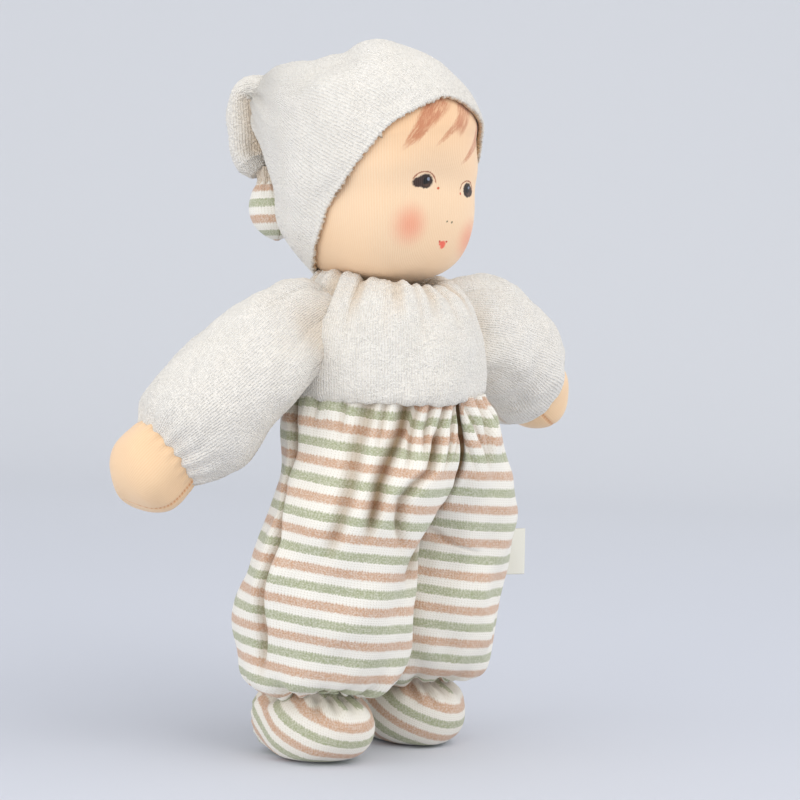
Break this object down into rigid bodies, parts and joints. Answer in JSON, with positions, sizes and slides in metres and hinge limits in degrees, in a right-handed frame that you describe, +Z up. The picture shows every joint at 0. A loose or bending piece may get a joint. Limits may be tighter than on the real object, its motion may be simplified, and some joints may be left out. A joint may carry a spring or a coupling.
{
  "type": "stuffed cloth doll",
  "caption": "Soft stuffed cloth doll with a terry shirt and pointed cap, striped knit trousers and boots, and a peach tricot face and hands.",
  "frame": {"origin": "middle of the doll's bounding box, on the floor that the boots stand on", "axes": "+Z up along the body, -Y the way the doll faces, -X the doll's own right side"},
  "size_m": [0.248, 0.117, 0.2958],
  "materials": {
    "terry": "off-white cotton terry, soft and matt",
    "skin_tricot": "peach cotton tricot with fine upright ribs",
    "striped_knit": "cream knit with narrow sage green and tan stripes",
    "wool_stuffing": "carded wool, matt",
    "cotton_thread": "twisted cotton",
    "ribbon": "bare woven ribbon"
  },
  "bodies": {
    "torso": {"trunk_core": "wool_stuffing", "shirt": "terry", "collar": "terry", "waist_tape": "cotton_thread"},
    "neck": {"neck_binding": "cotton_thread"},
    "head": {"head_core": "wool_stuffing", "head_skin": "skin_tricot", "cap_hood": "terry"},
    "cap_tail": {"cap_tail": "terry", "cap_tie": "cotton_thread", "cap_tip": "striped_knit"},
    "right_shoulder": {"right_shoulder_tape": "cotton_thread"},
    "right_arm": {"right_sleeve": "terry", "right_arm_core": "wool_stuffing", "right_wrist_thread": "cotton_thread", "right_hand": "skin_tricot", "right_hand_core": "wool_stuffing"},
    "right_leg": {"right_trouser": "striped_knit", "right_leg_core": "wool_stuffing"},
    "right_foot": {"right_boot": "striped_knit", "right_boot_core": "wool_stuffing", "right_ankle_thread": "cotton_thread"},
    "left_shoulder": {"left_shoulder_tape": "cotton_thread"},
    "left_arm": {"left_sleeve": "terry", "left_arm_core": "wool_stuffing", "left_wrist_thread": "cotton_thread", "left_hand": "skin_tricot", "left_hand_core": "wool_stuffing"},
    "left_leg": {"left_trouser": "striped_knit", "left_leg_core": "wool_stuffing", "label": "ribbon"},
    "left_foot": {"left_boot": "striped_knit", "left_boot_core": "wool_stuffing", "left_ankle_thread": "cotton_thread"}
  },
  "joints": [
    {"name": "neck_turn", "type": "hinge", "parent": "torso", "child": "neck", "pos_m": [-0.0074, -0.0094, 0.188], "axis": [0, 0, 1], "range_deg": [-30, 30], "stiffness_Nm_per_rad": 0.3, "deforming": ["collar"]},
    {"name": "neck_nod", "type": "hinge", "parent": "neck", "child": "head", "pos_m": [-0.0074, -0.0094, 0.188], "axis": [1, 0, 0], "range_deg": [-10, 10], "stiffness_Nm_per_rad": 0.4, "deforming": ["collar"]},
    {"name": "cap_tail_lift", "type": "hinge", "parent": "head", "child": "cap_tail", "pos_m": [-0.0375, 0.0444, 0.2734], "axis": [0.8899, 0.4553, 0.0269], "range_deg": [0, 70], "stiffness_Nm_per_rad": 0.03},
    {"name": "right_shoulder_raise", "type": "hinge", "parent": "torso", "child": "right_shoulder", "pos_m": [-0.0474, -0.0074, 0.17], "axis": [0, 1, 0], "range_deg": [-5, 50], "stiffness_Nm_per_rad": 0.15, "deforming": ["collar"]},
    {"name": "right_shoulder_swing", "type": "hinge", "parent": "right_shoulder", "child": "right_arm", "pos_m": [-0.0474, -0.0074, 0.17], "axis": [0, 0, 1], "range_deg": [-5, 30], "stiffness_Nm_per_rad": 0.15, "deforming": ["collar"]},
    {"name": "left_shoulder_raise", "type": "hinge", "parent": "torso", "child": "left_shoulder", "pos_m": [0.0326, -0.0074, 0.17], "axis": [0, -1, 0], "range_deg": [-28, 35], "stiffness_Nm_per_rad": 0.15, "deforming": ["collar"]},
    {"name": "left_shoulder_swing", "type": "hinge", "parent": "left_shoulder", "child": "left_arm", "pos_m": [0.0326, -0.0074, 0.17], "axis": [0, 0, -1], "range_deg": [-8, 35], "stiffness_Nm_per_rad": 0.15, "deforming": ["collar"]},
    {"name": "right_hip_bend", "type": "hinge", "parent": "torso", "child": "right_leg", "pos_m": [-0.0343, -0.0217, 0.097], "axis": [-0.9877, -0.1564, 0], "range_deg": [-12, 78], "stiffness_Nm_per_rad": 0.5, "deforming": ["right_trouser"]},
    {"name": "right_ankle_tilt", "type": "hinge", "parent": "right_leg", "child": "right_foot", "pos_m": [-0.0356, -0.0138, 0.029], "axis": [-0.9877, -0.1564, 0], "range_deg": [-12, 12], "stiffness_Nm_per_rad": 0.6, "deforming": ["right_trouser"]},
    {"name": "left_hip_bend", "type": "hinge", "parent": "torso", "child": "left_leg", "pos_m": [0.022, -0.0128, 0.097], "axis": [-0.9877, -0.1564, 0], "range_deg": [-12, 78], "stiffness_Nm_per_rad": 0.5, "deforming": ["left_trouser"]},
    {"name": "left_ankle_tilt", "type": "hinge", "parent": "left_leg", "child": "left_foot", "pos_m": [0.0207, -0.0049, 0.029], "axis": [-0.9877, -0.1564, 0], "range_deg": [-12, 12], "stiffness_Nm_per_rad": 0.6, "deforming": ["left_trouser"]}
  ]
}
